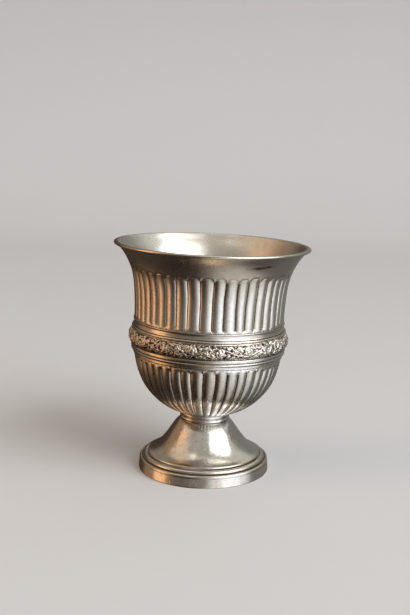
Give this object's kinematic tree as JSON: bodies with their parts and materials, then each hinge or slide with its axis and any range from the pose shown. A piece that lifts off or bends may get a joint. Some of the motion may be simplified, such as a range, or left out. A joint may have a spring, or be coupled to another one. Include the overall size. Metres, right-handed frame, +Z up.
{
  "type": "vase",
  "caption": "Footed campana-shaped silver vase: flared lip, lobed bowl, floral cushion band, reeded neck and spreading trumpet foot.",
  "frame": {"origin": "middle of the overall box on the plane that the vase stands on", "axes": "+Z up; the bowl leans slightly towards +X over its level foot; -Y faces the viewer of the picture"},
  "size_m": [0.098, 0.098, 0.1169],
  "materials": {
    "silver_shell": "worn polished silver sheet, fine scratches, warm brown tarnish in the grooves",
    "silver_band": "worn polished silver mouldings, darker in the grooves",
    "silver_wire": "rubbed bright silver wire",
    "silver_ornament": "silver relief, bright on the high points and dark with old tarnish between them",
    "silver_foot": "worn polished silver, fine scratches and slight dents"
  },
  "bodies": {
    "root": {"lip_wire": "silver_wire", "upper_bowl": "silver_shell", "collar_band": "silver_band", "bead_wire": "silver_wire", "ornament_band": "silver_ornament", "reed_band": "silver_band", "lower_bowl": "silver_shell", "neck_collar": "silver_band", "foot_cone": "silver_foot", "step_wire": "silver_band", "base_rim": "silver_foot"}
  },
  "joints": []
}
